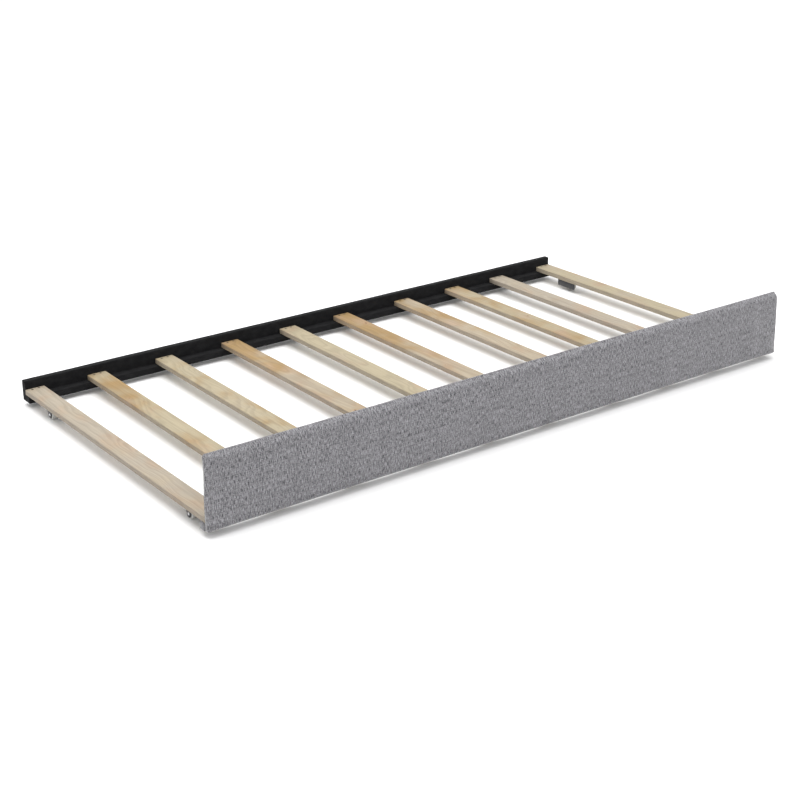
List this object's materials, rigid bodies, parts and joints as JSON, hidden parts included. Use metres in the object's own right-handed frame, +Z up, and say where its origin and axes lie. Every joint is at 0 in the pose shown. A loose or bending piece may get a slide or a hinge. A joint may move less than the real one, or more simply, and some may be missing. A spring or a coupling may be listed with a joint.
{
  "type": "trundle bed",
  "caption": "Low twin trundle bed on fixed casters, with a padded fabric front panel, a black wrapped rear rail and bare wood slats between them.",
  "frame": {"origin": "on the floor, in the middle of the bed's footprint", "axes": "+X along the bed to its right end, +Y from the padded front to the rear rail, +Z up"},
  "size_m": [1.908, 1.022, 0.2055],
  "materials": {
    "linen": "heathered grey linen-look weave, matt",
    "foam": "open-cell foam, hidden under the cover",
    "board": "plain engineered board, hidden under the covers",
    "lining": "black nonwoven dust lining, matt",
    "ledger_wood": "sawn softwood strip, hidden under its wrap",
    "black_wrap": "black nonwoven wrap, matt",
    "slat_wood": "bare planed softwood, unvarnished",
    "dark_screw": "blackened steel screws",
    "zinc": "bright zinc-plated steel",
    "black_steel": "black powder-coated steel, satin",
    "fork_steel": "dark coated pressed steel, satin",
    "wheel_grey": "pale grey moulded nylon, satin"
  },
  "bodies": {
    "bed": {"front_board": "board", "front_foam": "foam", "front_cover": "linen", "front_lining": "lining", "front_staples": "zinc", "front_ledger": "ledger_wood", "front_ledger_wrap": "linen", "front_ledger_screws": "dark_screw", "rear_board": "board", "rear_ledger": "ledger_wood", "rear_wrap": "black_wrap", "rear_ledger_screws": "dark_screw", "rear_staples": "zinc", "slat_01": "slat_wood", "slat_02": "slat_wood", "slat_03": "slat_wood", "slat_04": "slat_wood", "slat_05": "slat_wood", "slat_06": "slat_wood", "slat_07": "slat_wood", "slat_08": "slat_wood", "slat_09": "slat_wood", "slat_10": "slat_wood", "slat_screws_front": "dark_screw", "slat_screws_rear": "dark_screw", "caster_angle_front_left": "black_steel", "caster_angle_rear_left": "black_steel", "caster_angle_front_right": "black_steel", "caster_angle_rear_right": "black_steel", "caster_fork_front_left": "fork_steel", "caster_fork_rear_left": "fork_steel", "caster_fork_front_right": "fork_steel", "caster_fork_rear_right": "fork_steel", "caster_axle_front_left": "zinc", "caster_axle_rear_left": "zinc", "caster_axle_front_right": "zinc", "caster_axle_rear_right": "zinc", "caster_screws": "zinc"},
    "wheel_front_left": {"wheel_front_left": "wheel_grey"},
    "wheel_rear_left": {"wheel_rear_left": "wheel_grey"},
    "wheel_front_right": {"wheel_front_right": "wheel_grey"},
    "wheel_rear_right": {"wheel_rear_right": "wheel_grey"}
  },
  "joints": [
    {"name": "wheel_front_left_spin", "type": "hinge", "parent": "bed", "child": "wheel_front_left", "pos_m": [-0.9265, -0.388, 0.014], "axis": [1, 0, 0], "continuous": true},
    {"name": "wheel_rear_left_spin", "type": "hinge", "parent": "bed", "child": "wheel_rear_left", "pos_m": [-0.933, 0.363, 0.014], "axis": [1, 0, 0], "continuous": true},
    {"name": "wheel_front_right_spin", "type": "hinge", "parent": "bed", "child": "wheel_front_right", "pos_m": [0.9285, -0.388, 0.014], "axis": [1, 0, 0], "continuous": true},
    {"name": "wheel_rear_right_spin", "type": "hinge", "parent": "bed", "child": "wheel_rear_right", "pos_m": [0.926, 0.341, 0.014], "axis": [1, 0, 0], "continuous": true}
  ]
}
